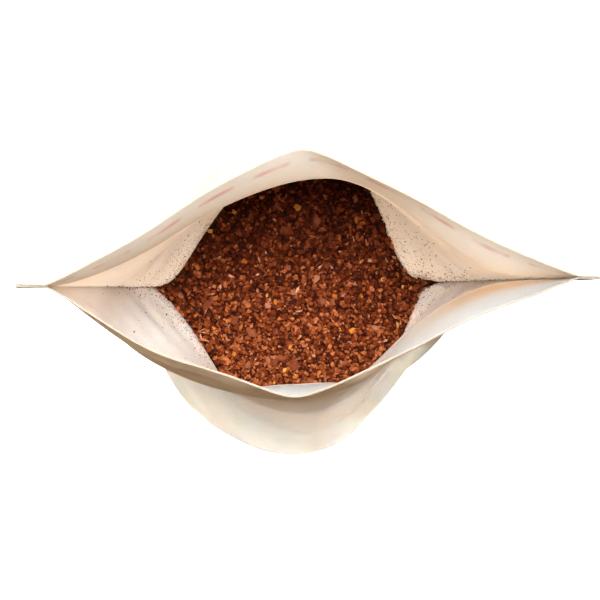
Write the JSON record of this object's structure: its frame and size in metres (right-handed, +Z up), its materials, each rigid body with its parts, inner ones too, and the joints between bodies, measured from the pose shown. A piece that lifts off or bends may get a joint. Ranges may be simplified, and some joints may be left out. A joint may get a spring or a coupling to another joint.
{
  "type": "coffee bag",
  "caption": "Standing paper pouch with welded side seams and a bottom gusset, its top seal peeled open, part filled with coarse ground coffee.",
  "frame": {"origin": "on the floor under the middle of the pouch, in the plane of its side seals", "axes": "+Z up out of the mouth, +X along the mouth from seal to seal, -Y towards the front panel"},
  "size_m": [0.1197, 0.0809, 0.2],
  "materials": {
    "paper": "matt cream paper laminate, softly creased",
    "grounds": "coarse dry roasted coffee grounds, dark to orange brown"
  },
  "bodies": {
    "root": {"bag": "paper", "coffee": "grounds"}
  },
  "joints": []
}
